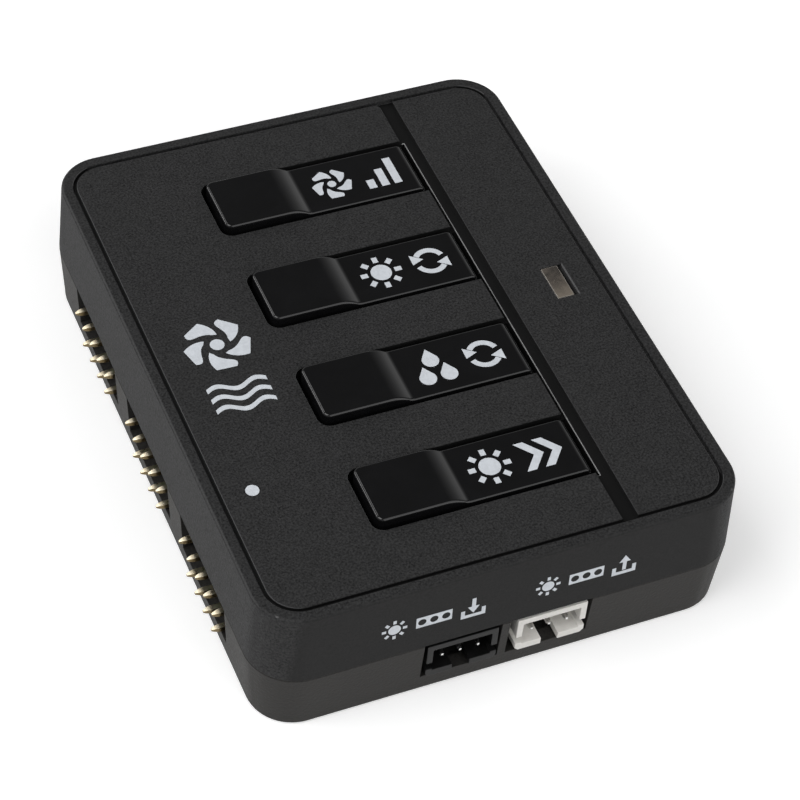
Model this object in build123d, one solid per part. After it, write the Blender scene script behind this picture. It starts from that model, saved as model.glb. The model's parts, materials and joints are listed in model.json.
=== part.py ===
from build123d import *
import math
import os

# Case outline: the flat rim on top, the seam where the two shells meet, and the base
rim_width = 53.0
rim_length = 69.5
rim_corner = 5.0
rim_round = 0.35
seam_flare = 0.45
seam_round = 0.15
base_tuck = 0.55
base_round = 0.4
wall = 1.6
top_skin = 1.8
floor_skin = 1.5
floor_room = 0.29

# Lap joint along the seam
tongue_height = 1.0
tongue_thick = 0.7
tongue_gap = 0.1

# Lines in the top face: the groove round the panel, the channel beside the keys and its trench
rim_band = 1.5
groove_width = 0.4
groove_depth = 0.45
strip_width = 10.7
channel_width = 1.75
channel_depth = 0.6
channel_corner = 0.8
trench_depth = 1.1

# Indicator window in the strip right of the channel
window_width = 2.1
window_length = 4.85
window_offset = 0.7
window_bevel = 0.6
window_bevel_depth = 0.5

# Keys
key_count = 4
key_margin = 7.3
key_start = 13.65
key_width = 7.5
key_overreach = 0.05
key_gap = 0.55
key_end_gap = 0.5
key_skin = 1.1
key_skirt = 2.8
key_corner = 0.8
key_edge = 0.25
pad_length = 7.15
pad_rise = 0.9
slope_length = 3.1
foot_radius = 1.1
roll_radius = 1.0
lip_reach = 1.3
lip_thick = 0.8
lip_gap = 0.1
post_radius = 1.5
post_rib = 0.8
post_rib_lift = 0.6
post_drop = 2.95

# Pivot of each key: two stubs that snap into ears under the cover
pivot_inset = 2.0
pivot_drop = 3.4
pivot_radius = 1.0
pivot_clearance = 0.05
pivot_web = 0.7
pivot_end = 0.15
ear_thick = 1.2
ear_gap = 0.55
ear_web = 0.95
ear_mouth = 1.7

# Circuit board
board_thick = 1.6
board_drop = 0.45
board_gap = 0.3
board_corner = 3.0
pin_hole = 1.05

# Screws and their bosses
screw_inset_x = 5.45
screw_inset_y = 4.9
screw_radius = 1.1
screw_clearance = 0.2
screw_bite = 0.03
screw_length = 10.6
screw_point = 1.2
screw_tip = 0.3
screw_head_radius = 2.0
screw_head_height = 1.3
screw_head_round = 0.7
screw_head_gap = 0.25
screw_seat = 2.4
boss_radius = 2.75
boss_depth_spare = 0.8
boss_rib = 0.9
boss_rib_lift = 0.5
boss_rib_drop = 1.0

# Push switches below the keys
switch_side = 6.0
switch_height = 3.5
switch_chamfer = 0.6
switch_plate = 0.5
switch_travel = 0.25
switch_foot_reach = 1.0
switch_foot_width = 0.7
switch_foot_thick = 0.2
switch_foot_spacing = 4.5
plunger_radius = 1.7
plunger_top = 5.0
plunger_clearance = 0.05
plunger_edge = 0.3
flange_radius = 2.2
flange_thick = 0.8
flange_clearance = 0.1
post_gap = 0.05

# Fan ports on the left side
port_count = 3
port_margin = 11.0
port_gap = 0.35
sill_height = 2.35
pin_pitch = 2.54
pin_side = 0.64
pin_columns = 5
pin_reach = 0.7
pin_free = 6.0
pin_point = 0.6
pin_point_inset = 0.2
pin_drop = 1.8
pin_bend = 1.5
pin_tail = 0.6
insulator_thick = 2.54
insulator_nick = 0.5

# Shrouded headers: light strips on the front, power on the back
shroud_set = 0.1
shroud_depth = 6.0
shroud_height = 4.9
shroud_mouth = 4.4
shroud_top = 0.8
shroud_side = 0.7
shroud_floor = 0.9
shroud_notch = 1.9
shroud_chamfer = 0.4
hook_drop = 2.8
hook_slit = 0.95
contact_side = 0.5
contact_set = 0.42
contact_drop = 2.5
contact_point = 0.4
contact_inset = 0.12
contact_window = 0.95
contact_window_depth = 0.6
contact_bend = 0.7
led_count = 3
led_pitch = 2.0
led_width = 7.9
led_spacing = 10.04
led_gap = 0.4
pier_width = 0.9
pier_offset = -0.32
power_count = 4
power_pitch = 2.5
power_width = 12.4
power_boss_gap = 1.05
power_gap = 0.5

# Parts on the board
pipe_gap = 0.05
pipe_flange = 0.9
pipe_flange_thick = 0.8
pipe_standoff = 0.4
lamp_width = 2.8
lamp_length = 3.5
lamp_height = 1.2
lamp_cup = 1.1
lamp_cup_depth = 0.35
chip_width = 3.9
chip_length = 9.9
chip_height = 1.6
chip_standoff = 0.15
chip_lead_pitch = 1.27
chip_lead_count = 8
chip_lead_width = 0.4
chip_lead_reach = 1.05
chip_lead_thick = 0.2
chip_step = 9.0
driver_step = 1.25
driver_width = 3.5
driver_length = 6.5
driver_height = 1.6
driver_lead_count = 3
driver_lead_pitch = 2.3
driver_lead_width = 0.7
driver_lead_reach = 1.75
driver_lead_thick = 0.25
driver_tab_width = 3.0
can_inset_x = 5.05
can_inset_y = 15.3
can_radius = 3.15
can_height = 5.2
can_base_side = 6.6
can_base_height = 1.0
can_corner = 1.4
can_neck = 0.25
can_neck_height = 0.5
can_round = 0.3

# Levels, from the base up: the fan headers set the lower case's height, the switches set the cover's
insulator_height = 2 * pin_pitch
insulator_drop = pin_drop - pin_pitch / 2
board_under = floor_skin + floor_room + insulator_height + insulator_drop
board_top = board_under + board_thick
lower_height = board_under + board_drop
post_level = board_top + plunger_top + post_gap
top_level = post_level + post_drop
cover_height = top_level - lower_height
under_skin = top_level - top_skin
pad_level = top_level + pad_rise
skirt_level = top_level - key_skirt
pivot_level = top_level - pivot_drop

# Outlines and places that follow from the sizes
seam_width = rim_width + 2 * seam_flare
seam_length = rim_length + 2 * seam_flare
seam_corner = rim_corner + seam_flare
base_width = seam_width - 2 * base_tuck
base_length = seam_length - 2 * base_tuck
base_corner = seam_corner - base_tuck
panel_width = rim_width - 2 * rim_band
panel_length = rim_length - 2 * rim_band
panel_corner = rim_corner - rim_band
channel_right = panel_width / 2 - strip_width
channel_left = channel_right - channel_width
key_right = channel_left + key_overreach
key_left = key_start - panel_width / 2
key_pitch = (panel_length - 2 * key_margin - key_width) / (key_count - 1)
pad_end = key_left + pad_length
slope_end = pad_end + slope_length
pivot_x = key_right - pivot_inset
switch_x = key_left + pad_length / 2
slot_left = key_left - key_gap
slot_right = key_right + key_end_gap
slot_width = key_width + 2 * key_gap
window_x = channel_right + strip_width / 2 + window_offset
screw_x = seam_width / 2 - screw_inset_x
screw_y = seam_length / 2 - screw_inset_y
insulator_length = pin_columns * pin_pitch
port_length = insulator_length + 2 * port_gap
port_pitch = (seam_length - 2 * port_margin - port_length) / (port_count - 1)
pin_face = pin_free - pin_reach
led_x = led_spacing / 2
power_x = screw_x - boss_radius - power_boss_gap - power_width / 2
board_width = seam_width - 2 * (wall + board_gap)
board_length = seam_length - 2 * (wall + board_gap)
driver_x = switch_x + driver_step
chip_x = driver_x + chip_step
can_x = board_width / 2 - can_inset_x
can_y = can_inset_y - board_length / 2
key_rows = [(key_count - 1) / 2 * key_pitch - row * key_pitch for row in range(key_count)]
port_rows = [(port_count - 1) / 2 * port_pitch - row * port_pitch for row in range(port_count)]
corners = [(x, y) for x in (-screw_x, screw_x) for y in (-screw_y, screw_y)]

standing = (Align.CENTER, Align.CENTER, Align.MIN)
from_corner = (Align.MIN, Align.MIN, Align.MIN)


# A block between two corners
def block(low, high):
    size = [end - start for start, end in zip(low, high)]
    return Pos(*low) * Box(*size, align=from_corner)


# An upright rod between two levels
def rod(radius, x, y, bottom, top):
    return Pos(x, y, bottom) * Cylinder(radius, top - bottom, align=standing)


# A rounded block that leans in by the given amount on every side over its height
def rounded_block(width, length, corner, bottom, height, lean=0.0):
    outline = Pos(0, 0, bottom) * RectangleRounded(width, length, corner)
    return extrude(outline, height, taper=math.degrees(math.atan2(lean, height)))


# Half width or half length of the lower case's outside at a level, from its size at the seam
def lower_side(seam_size, level):
    return seam_size / 2 - base_tuck * (1 - level / lower_height)


# Top cover: the drafted shell, hollow below, with a step for the lower case's tongue
def cover_shell():
    shell = rounded_block(seam_width, seam_length, seam_corner, lower_height, cover_height, seam_flare)
    shell = fillet(shell.faces().sort_by(Axis.Z)[-1].edges(), rim_round)
    shell = fillet(shell.faces().sort_by(Axis.Z)[0].edges(), seam_round)
    depth = cover_height - top_skin
    lean = seam_flare * depth / cover_height
    inside_width = seam_width - 2 * wall
    inside_length = seam_length - 2 * wall
    shell -= rounded_block(inside_width, inside_length, seam_corner - wall, lower_height, depth, lean)
    step = wall - tongue_thick - tongue_gap
    step_width = seam_width - 2 * step
    step_length = seam_length - 2 * step
    step_height = tongue_height + tongue_gap
    return shell - rounded_block(step_width, step_length, seam_corner - step, lower_height, step_height)


# The thin groove that frames the panel
def panel_groove():
    half = groove_width / 2
    outer = RectangleRounded(panel_width + groove_width, panel_length + groove_width, panel_corner + half)
    inner = RectangleRounded(panel_width - groove_width, panel_length - groove_width, panel_corner - half)
    return extrude(Pos(0, 0, top_level - groove_depth) * (outer - inner), groove_depth)


# The channel between the key panel and the strip, rounded into the groove at its back end, and its trench
def key_channel():
    middle = (channel_left + channel_right) / 2
    outline = Pos(middle, 0) * Rectangle(channel_width, panel_length)
    x = channel_left - channel_corner
    y = panel_length / 2 - groove_width / 2 - channel_corner
    square = Rectangle(channel_corner, channel_corner, align=(Align.MIN, Align.MIN))
    outline += Pos(x, y) * (square - Circle(channel_corner))
    channel = extrude(Pos(0, 0, top_level - channel_depth) * outline, channel_depth)
    reach = key_rows[0] + slot_width / 2
    low = (channel_left, -reach, top_level - trench_depth)
    return channel + block(low, (slot_right, reach, top_level))


# One through slot for each key
def key_slots():
    slots = []
    for y in key_rows:
        outline = Rectangle(slot_right - slot_left, slot_width)
        outline = fillet(outline.vertices().group_by(Axis.X)[0], key_corner + key_gap)
        middle = (slot_left + slot_right) / 2
        slots.append(extrude(Pos(middle, y, under_skin) * outline, top_skin))
    return slots


# The window's opening, with a bevel on its outer long side
def window_opening():
    half = window_length / 2
    right = window_x + window_width / 2
    hole = block((window_x - window_width / 2, -half, under_skin), (right, half, top_level))
    low = top_level - window_bevel_depth
    slope = Polyline((right, low), (right + window_bevel, top_level), (right, top_level), close=True)
    bevel = extrude(Plane.XZ.offset(-half) * make_face(slope), window_length)
    return hole + bevel


# Two ribs that tie a boss to the nearest walls
def boss_ribs(x, y, bottom, top):
    half = boss_rib / 2
    side = seam_width / 2 - wall
    end = seam_length / 2 - wall
    ribs = []
    across = sorted((x, math.copysign(side, x)))
    along = sorted((y, math.copysign(end, y)))
    ribs.append(block((across[0], y - half, bottom), (across[1], y + half, top)))
    ribs.append(block((x - half, along[0], bottom), (x + half, along[1], top)))
    return ribs


# The screw bosses that stand on the board, with their blind holes
def cover_bosses():
    bosses = []
    hole_top = screw_seat + screw_length + boss_depth_spare
    for x, y in corners:
        boss = rod(boss_radius, x, y, board_top, under_skin)
        boss += boss_ribs(x, y, board_top + boss_rib_lift, under_skin)
        bosses.append(boss - rod(screw_radius + screw_bite, x, y, board_top, hole_top))
    return bosses


# One ear for a key's stub: a round bearing with a narrow mouth that the stub snaps in through
def pivot_ear():
    outer = pivot_radius + pivot_clearance + ear_web
    mouth_bottom = pivot_level - outer
    plate = block((pivot_x - outer, 0, pivot_level), (pivot_x + outer, ear_thick, under_skin))
    bearing = Plane.XZ * Pos(pivot_x, pivot_level) * Circle(outer)
    plate += extrude(bearing, -ear_thick)
    bore = Plane.XZ * Pos(pivot_x, pivot_level) * Circle(pivot_radius + pivot_clearance)
    plate -= extrude(bore, -ear_thick)
    half = ear_mouth / 2
    return plate - block((pivot_x - half, 0, mouth_bottom), (pivot_x + half, ear_thick, pivot_level))


# Two ears for each key
def pivot_ears():
    ears = []
    side = key_width / 2 + ear_gap
    for y in key_rows:
        ears.append(Pos(0, y + side, 0) * pivot_ear())
        ears.append(Pos(0, y - side - ear_thick, 0) * pivot_ear())
    return ears


def top_cover():
    cover = cover_shell()
    cover -= panel_groove()
    cover -= key_channel()
    cover -= key_slots()
    cover -= window_opening()
    cover += cover_bosses()
    return cover + pivot_ears()


# Bottom case: the tapered tray and the tongue that rises inside the cover
def case_tray():
    tray = rounded_block(base_width, base_length, base_corner, 0, lower_height, -base_tuck)
    tray = fillet(tray.faces().sort_by(Axis.Z)[0].edges(), base_round)
    tray = fillet(tray.faces().sort_by(Axis.Z)[-1].edges(), seam_round)
    inside_width = 2 * (lower_side(seam_width, floor_skin) - wall)
    inside_length = 2 * (lower_side(seam_length, floor_skin) - wall)
    corner = inside_width / 2 - (base_width / 2 - base_corner)
    depth = lower_height - floor_skin
    lean = base_tuck * depth / lower_height
    inside = rounded_block(inside_width, inside_length, corner, floor_skin, depth, -lean)
    return tray - inside + case_tongue()


def case_tongue():
    step = wall - tongue_thick
    outer = RectangleRounded(seam_width - 2 * step, seam_length - 2 * step, seam_corner - step)
    inner = RectangleRounded(seam_width - 2 * wall, seam_length - 2 * wall, seam_corner - wall)
    return extrude(Pos(0, 0, lower_height) * (outer - inner), tongue_height)


# The notches that the connectors look out of, open at the seam
def case_notches():
    crest = lower_height + tongue_height
    side = seam_width / 2
    front = seam_length / 2
    depth = base_tuck + wall
    notches = []
    for y in port_rows:
        low = (-side, y - port_length / 2, sill_height)
        notches.append(block(low, (depth - side, y + port_length / 2, crest)))
    edge = led_x + led_width / 2 + led_gap
    pier = (pier_offset - pier_width / 2, pier_offset + pier_width / 2)
    notches.append(block((-edge, -front, sill_height), (pier[0], depth - front, crest)))
    notches.append(block((pier[1], -front, sill_height), (edge, depth - front, crest)))
    reach = power_width / 2 + power_gap
    low = (power_x - reach, front - depth, sill_height)
    notches.append(block(low, (power_x + reach, front, crest)))
    return notches


# The lower bosses: the board rests on them, the screw heads sit in their counterbores
def case_bosses():
    bosses = []
    for x, y in corners:
        bosses.append(rod(boss_radius, x, y, 0, board_under))
        bosses += boss_ribs(x, y, floor_skin, board_under - boss_rib_drop)
    return bosses


def case_screw_holes():
    holes = []
    for x, y in corners:
        holes.append(rod(screw_head_radius + screw_head_gap, x, y, 0, screw_seat))
        holes.append(rod(screw_radius + screw_clearance, x, y, screw_seat, board_under))
    return holes


def bottom_case():
    case = case_tray()
    case -= case_notches()
    case += case_bosses()
    return case - case_screw_holes()


# Key: side profile with the raised pad, a slope of a wide crest and a tighter foot, and a rolled-off end
def key_profile():
    both_radii = (slope_length**2 + pad_rise**2) / (2 * pad_rise)
    turn = math.degrees(2 * math.atan2(pad_rise, slope_length))
    start = (key_left, skirt_level)
    left = Line(start, (key_left, pad_level))
    pad = Line(left @ 1, (pad_end, pad_level))
    crest = JernArc(pad @ 1, (1, 0), both_radii - foot_radius, -turn)
    foot = JernArc(crest @ 1, crest % 1, foot_radius, turn)
    flat = Line(foot @ 1, (key_right - roll_radius, top_level))
    roll = JernArc(flat @ 1, (1, 0), roll_radius, -90)
    right = Line(roll @ 1, (key_right, skirt_level))
    return make_face(left + pad + crest + foot + flat + roll + right + Line(right @ 1, start))


# The hollow below a key's skin
def key_hollow():
    left = key_left + key_skin
    right = key_right - key_skin
    pad_under = pad_level - key_skin
    flat_under = top_level - key_skin
    outline = Polyline(
        (left, skirt_level),
        (left, pad_under),
        (pad_end - key_skin / 2, pad_under),
        (slope_end - key_skin / 2, flat_under),
        (right, flat_under),
        (right, skirt_level),
        close=True,
    )
    width = key_width - 2 * key_skin
    return extrude(Plane.XZ.offset(-width / 2) * make_face(outline), width)


# The edges round the top: both long sides and the left end, but not the lines across between its stretches
def key_edges(cap):
    level = top_level - roll_radius
    sides = cap.edges().filter_by(lambda edge: edge.bounding_box().min.Z > level - key_edge)
    crossing = sides.filter_by(Axis.Y).filter_by(lambda edge: edge.center().X > key_left + key_edge)
    return sides - crossing


# The post that meets the switch, held by a rib across the hollow
def key_post():
    top = pad_level - key_skin / 2
    half = key_width / 2 - key_skin / 2
    rib_low = (switch_x - post_rib / 2, -half, post_level + post_rib_lift)
    rib = block(rib_low, (switch_x + post_rib / 2, half, top))
    return rib + rod(post_radius, switch_x, 0, post_level, top)


# The tabs and stubs of the pivot, one on each side
def key_pivot():
    outer = pivot_radius + pivot_web
    inner_side = key_width / 2 - key_skin
    stub_end = key_width / 2 + ear_gap + ear_thick + pivot_end
    centre = Plane.XZ * Pos(pivot_x, pivot_level)
    tab = extrude(centre * Circle(outer), -key_skin)
    tab += block((pivot_x - outer, 0, pivot_level), (pivot_x + outer, key_skin, top_level - key_skin))
    stub = extrude(centre * Circle(pivot_radius), -(stub_end - inner_side))
    side = Pos(0, inner_side, 0) * (tab + stub)
    return [side, mirror(side, Plane.XZ)]


def key_cap():
    plan = Rectangle(key_right - key_left, key_width)
    plan = fillet(plan.vertices().group_by(Axis.X)[0], key_corner)
    column = extrude(Pos((key_left + key_right) / 2, 0, skirt_level) * plan, pad_level - skirt_level)
    cap = extrude(Plane.XZ.offset(-key_width / 2) * key_profile(), key_width) & column
    cap = fillet(key_edges(cap), key_edge)
    cap -= key_hollow()
    lip_top = under_skin - lip_gap
    half = key_width / 2 - key_corner
    cap += block((key_left - lip_reach, -half, lip_top - lip_thick), (key_left + key_skin, half, lip_top))
    cap += key_post()
    return cap + key_pivot()


# Switch: a square body with a round cavity, on four feet
def switch_body(x, y):
    base = extrude(Pos(x, y, board_top) * Rectangle(switch_side, switch_side), switch_height)
    base = chamfer(base.edges().filter_by(Axis.Z), switch_chamfer)
    plate_under = board_top + switch_height - switch_plate
    drop = flange_thick + switch_travel + 2 * flange_clearance
    base -= rod(flange_radius + flange_clearance, x, y, plate_under - drop, plate_under)
    base -= rod(plunger_radius + plunger_clearance, x, y, plate_under, board_top + switch_height)
    reach = switch_side / 2 + switch_foot_reach
    for side in (-1, 1):
        middle = y + side * switch_foot_spacing / 2
        low = (x - reach, middle - switch_foot_width / 2, board_top)
        base += block(low, (x + reach, middle + switch_foot_width / 2, board_top + switch_foot_thick))
    return base


def switch_plunger(x, y):
    flange_top = board_top + switch_height - switch_plate - flange_clearance
    stem = rod(plunger_radius, x, y, flange_top, board_top + plunger_top)
    stem = chamfer(stem.faces().sort_by(Axis.Z)[-1].edges(), plunger_edge)
    return stem + rod(flange_radius, x, y, flange_top - flange_thick, flange_top)


# A header is drawn looking to -x from x = 0, below the board's underside at z = 0, then set at the outline
def on_left(y):
    return Pos(-seam_width / 2, y, board_under)


def on_front(x):
    return Pos(x, -seam_length / 2, board_under) * Rot(0, 0, 90)


def on_back(x):
    return Pos(x, seam_length / 2, board_under) * Rot(0, 0, -90)


# A bent square contact with a pyramid point: its leg leaves the case, its tail goes up through the board
def bent_contact(side, tip, point, inset, level, tail, y):
    half = side / 2
    shoulder = tip + point
    top = board_thick + pin_tail
    outline = Polyline(
        (shoulder, level - half),
        (tail + half, level - half),
        (tail + half, top),
        (tail - half, top),
        (tail - half, level + half),
        (shoulder, level + half),
        close=True,
    )
    bend = make_face(outline)
    outer = bend.vertices().group_by(Axis.Y)[0].sort_by(Axis.X)[-1]
    leg = extrude(Plane.XZ.offset(-half) * fillet(outer, half), side)
    face = Plane((shoulder, 0, level), x_dir=(0, 1, 0), z_dir=(-1, 0, 0))
    cone = extrude(face * Rectangle(side, side), point, taper=math.degrees(math.atan2(inset, point)))
    return Pos(0, y, 0) * (leg + cone)


# The places of a fan header's contacts: two rows of five, the back-most lower one left out
def fan_places():
    places = []
    for row in range(2):
        for column in range(pin_columns):
            if row == 0 or column < pin_columns - 1:
                y = (column - (pin_columns - 1) / 2) * pin_pitch
                tail = pin_face + insulator_thick + pin_bend + row * pin_pitch
                places.append((y, -pin_drop - row * pin_pitch, tail))
    return places


def fan_pins(y):
    pins = []
    for across, level, tail in fan_places():
        pins.append(bent_contact(pin_side, -pin_reach, pin_point, pin_point_inset, level, tail, across))
    return Compound([on_left(y) * pin.solid() for pin in pins])


# The insulator: a ribbed bar, nicked between the columns
def fan_header(y):
    half = insulator_length / 2
    back = pin_face + insulator_thick
    high = -insulator_drop
    low = high - insulator_height
    plan = Rectangle(insulator_thick, insulator_length)
    for step in range(1, pin_columns):
        for edge in (-1, 1):
            place = Pos(edge * insulator_thick / 2, step * pin_pitch - half)
            plan -= place * Rot(0, 0, 45) * Rectangle(insulator_nick, insulator_nick)
    bar = extrude(Pos(pin_face + insulator_thick / 2, 0, low) * plan, high - low)
    hole = pin_side / 2
    for across, level, tail in fan_places():
        bar -= block((pin_face, across - hole, level - hole), (back, across + hole, level + hole))
    return on_left(y) * bar


def contact_rows(places, pitch):
    return [(place - (places - 1) / 2) * pitch for place in range(places)]


# A shrouded header: a box open to the front, its floor split by a notch, its sides slit above the floor
def shroud(places, pitch, width):
    half = width / 2
    front = shroud_set
    back = front + shroud_depth
    mouth = front + shroud_mouth
    body = block((front, -half, -shroud_height), (back, half, 0))
    body = chamfer(body.edges().filter_by(Axis.X).group_by(Axis.Z)[0], shroud_chamfer)
    inner = half - shroud_side
    floor = shroud_floor - shroud_height
    body -= block((front, -inner, floor), (mouth, inner, -shroud_top))
    body -= block((front, -shroud_notch / 2, -shroud_height), (mouth, shroud_notch / 2, floor))
    body -= block((front, -half, -hook_drop - hook_slit), (mouth, half, -hook_drop))
    hole = contact_side / 2
    window = contact_window / 2
    for y in contact_rows(places, pitch):
        body -= block((mouth, y - hole, -contact_drop - hole), (back, y + hole, hole - contact_drop))
        low = (mouth, y - window, -contact_drop - window)
        body -= block(low, (mouth + contact_window_depth, y + window, window - contact_drop))
    return body


def shroud_contacts(places, pitch):
    tip = shroud_set + contact_set
    tail = shroud_set + shroud_depth + contact_bend
    contacts = []
    for y in contact_rows(places, pitch):
        contact = bent_contact(contact_side, tip, contact_point, contact_inset, -contact_drop, tail, y)
        contacts.append(contact.solid())
    return contacts


def placed(place, solids):
    return Compound([place * solid for solid in solids])


# Circuit board with its screw holes and the holes that the contacts are soldered in
def circuit_board():
    board = rounded_block(board_width, board_length, board_corner, board_under, board_thick)
    holes = []
    for x, y in corners:
        holes.append(rod(screw_radius + screw_clearance, x, y, board_under, board_top))
    drill = Cylinder(pin_hole / 2, board_thick, align=standing)
    for y in port_rows:
        for across, level, tail in fan_places():
            holes.append(on_left(y) * Pos(tail, across, 0) * drill)
    tail = shroud_set + shroud_depth + contact_bend
    for across in contact_rows(led_count, led_pitch):
        holes.append(on_front(-led_x) * Pos(tail, across, 0) * drill)
        holes.append(on_front(led_x) * Pos(tail, across, 0) * drill)
    for across in contact_rows(power_count, power_pitch):
        holes.append(on_back(power_x) * Pos(tail, across, 0) * drill)
    return board - holes


# Light pipe: a clear bar in the window, with a flange below the skin and a stem down to the lamp
def light_pipe():
    half_x = window_width / 2 - pipe_gap
    half_y = window_length / 2 - pipe_gap
    foot = board_top + lamp_height + pipe_standoff
    stem = block((window_x - half_x, -half_y, foot), (window_x + half_x, half_y, top_level - pipe_gap))
    low = (window_x - half_x - pipe_flange, -half_y - pipe_flange, under_skin - pipe_flange_thick)
    return stem + block(low, (window_x + half_x + pipe_flange, half_y + pipe_flange, under_skin))


def indicator_lamp():
    low = (window_x - lamp_width / 2, -lamp_length / 2, board_top)
    body = block(low, (window_x + lamp_width / 2, lamp_length / 2, board_top + lamp_height))
    rim = board_top + lamp_height
    return body - rod(lamp_cup, window_x, 0, rim - lamp_cup_depth, rim)


# Controller chip with a row of flat leads on each long side
def controller_chip():
    bottom = board_top + chip_standoff
    half = chip_width / 2
    low = (chip_x - half, -chip_length / 2, bottom)
    chip = block(low, (chip_x + half, chip_length / 2, bottom + chip_height))
    reach = half + chip_lead_reach
    for y in contact_rows(chip_lead_count, chip_lead_pitch):
        low = (chip_x - reach, y - chip_lead_width / 2, board_top)
        high = (chip_x + reach, y + chip_lead_width / 2, board_top + chip_lead_thick)
        chip += block(low, high)
    return chip


# Fan driver: a power transistor with three leads and a wide tab
def fan_driver(y):
    half = driver_width / 2
    reach = half + driver_lead_reach
    high = board_top + driver_lead_thick
    driver = block(
        (driver_x - half, y - driver_length / 2, board_top),
        (driver_x + half, y + driver_length / 2, board_top + driver_height),
    )
    for across in contact_rows(driver_lead_count, driver_lead_pitch):
        low = (driver_x - reach, y + across - driver_lead_width / 2, board_top)
        driver += block(low, (driver_x, y + across + driver_lead_width / 2, high))
    low = (driver_x, y - driver_tab_width / 2, board_top)
    return driver + block(low, (driver_x + reach, y + driver_tab_width / 2, high))


# Capacitor: a crimped can on a square base with two cut corners
def power_capacitor():
    base = Rectangle(can_base_side, can_base_side)
    base = chamfer(base.vertices().group_by(Axis.Y)[-1], can_corner)
    foot = extrude(Pos(can_x, can_y, board_top) * base, can_base_height)
    bottom = board_top + can_base_height
    top = board_top + can_height
    can = rod(can_radius, can_x, can_y, bottom + can_neck_height, top)
    can = fillet(can.faces().sort_by(Axis.Z)[-1].edges(), can_round)
    return foot + can + rod(can_radius - can_neck, can_x, can_y, bottom, bottom + can_neck_height)


# Screw: a rounded head below its seat, a plain shank and a point
def case_screw(x, y):
    head = rod(screw_head_radius, x, y, screw_seat - screw_head_height, screw_seat)
    head = fillet(head.faces().sort_by(Axis.Z)[0].edges(), screw_head_round)
    shank_end = screw_seat + screw_length - screw_point
    shank = rod(screw_radius, x, y, screw_seat, shank_end)
    point = Cone(screw_radius, screw_tip, screw_point, align=standing)
    return head + shank + Pos(x, y, shank_end) * point


key_names = ["fan_speed_key", "light_mode_key", "color_mode_key", "light_speed_key"]
letters = "abcd"
nodes = {"top_cover": top_cover(), "bottom_case": bottom_case(), "circuit_board": circuit_board()}
cap = key_cap()
for name, letter, y in zip(key_names, letters, key_rows):
    nodes[name] = Pos(0, y, 0) * cap
    nodes["switch_body_" + letter] = switch_body(switch_x, y)
    nodes["switch_plunger_" + letter] = switch_plunger(switch_x, y)
for letter, y in zip(letters, port_rows):
    nodes["fan_header_" + letter] = fan_header(y)
    nodes["fan_pins_" + letter] = fan_pins(y)
led_shroud = shroud(led_count, led_pitch, led_width)
led_contacts = shroud_contacts(led_count, led_pitch)
nodes["led_in_header"] = on_front(-led_x) * led_shroud
nodes["led_in_pins"] = placed(on_front(-led_x), led_contacts)
nodes["led_out_header"] = on_front(led_x) * led_shroud
nodes["led_out_pins"] = placed(on_front(led_x), led_contacts)
nodes["power_header"] = on_back(power_x) * shroud(power_count, power_pitch, power_width)
nodes["power_pins"] = placed(on_back(power_x), shroud_contacts(power_count, power_pitch))
nodes["light_pipe"] = light_pipe()
nodes["indicator_lamp"] = indicator_lamp()
nodes["controller_chip"] = controller_chip()
for letter, y in zip(letters, contact_rows(port_count, -key_pitch)):
    nodes["fan_driver_" + letter] = fan_driver(y)
nodes["power_capacitor"] = power_capacitor()
nodes["case_screws"] = Compound([case_screw(x, y).solid() for x, y in corners])

os.makedirs("parts", exist_ok=True)
for name, shape in nodes.items():
    export_step(shape, "parts/" + name + ".step")
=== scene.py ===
import json
import math

import bmesh
import bpy
from mathutils import Matrix, Vector


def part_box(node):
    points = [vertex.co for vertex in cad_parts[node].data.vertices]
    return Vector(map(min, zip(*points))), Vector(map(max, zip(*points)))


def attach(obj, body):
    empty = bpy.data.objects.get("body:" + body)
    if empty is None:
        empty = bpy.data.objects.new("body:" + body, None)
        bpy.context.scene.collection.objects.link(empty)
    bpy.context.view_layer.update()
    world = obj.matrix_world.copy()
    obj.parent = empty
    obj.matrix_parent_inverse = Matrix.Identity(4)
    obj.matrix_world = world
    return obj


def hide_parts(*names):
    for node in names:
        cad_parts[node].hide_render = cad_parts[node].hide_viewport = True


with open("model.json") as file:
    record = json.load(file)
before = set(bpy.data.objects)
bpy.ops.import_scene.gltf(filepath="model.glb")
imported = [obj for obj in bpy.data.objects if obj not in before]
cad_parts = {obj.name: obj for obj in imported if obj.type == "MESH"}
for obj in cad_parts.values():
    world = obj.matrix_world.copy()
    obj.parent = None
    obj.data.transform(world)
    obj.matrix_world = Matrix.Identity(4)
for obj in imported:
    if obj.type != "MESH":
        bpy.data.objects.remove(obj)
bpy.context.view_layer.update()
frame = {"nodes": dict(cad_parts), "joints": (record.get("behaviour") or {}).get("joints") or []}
nodes = frame["nodes"]
mm = 0.001  # shapes are drawn in millimetres and set down in metres


def box(node):
    low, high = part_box(node)
    return low / mm, high / mm


coverLow, coverHigh = box("top_cover")
topLevel = coverHigh.z
seamLevel = coverLow.z
print("frame loaded:", len(nodes), "nodes")


# Mesh helpers
def newPiece(name, mesh):
    piece = bpy.data.objects.new(name, mesh)
    bpy.context.scene.collection.objects.link(piece)
    return piece


def meshFrom(name, bm):
    mesh = bpy.data.meshes.new(name)
    bmesh.ops.recalc_face_normals(bm, faces=bm.faces)
    bm.to_mesh(mesh)
    bm.free()
    return mesh


def settle(piece):
    # applies the piece's modifiers
    graph = bpy.context.evaluated_depsgraph_get()
    mesh = bpy.data.meshes.new_from_object(piece.evaluated_get(graph))
    piece.modifiers.clear()
    old = piece.data
    piece.data = mesh
    bpy.data.meshes.remove(old)


def carve(piece, tool, operation):
    step = piece.modifiers.new("carve", "BOOLEAN")
    step.operation = operation
    step.solver = "EXACT"
    step.object = tool
    settle(piece)
    bpy.data.objects.remove(tool)


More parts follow.
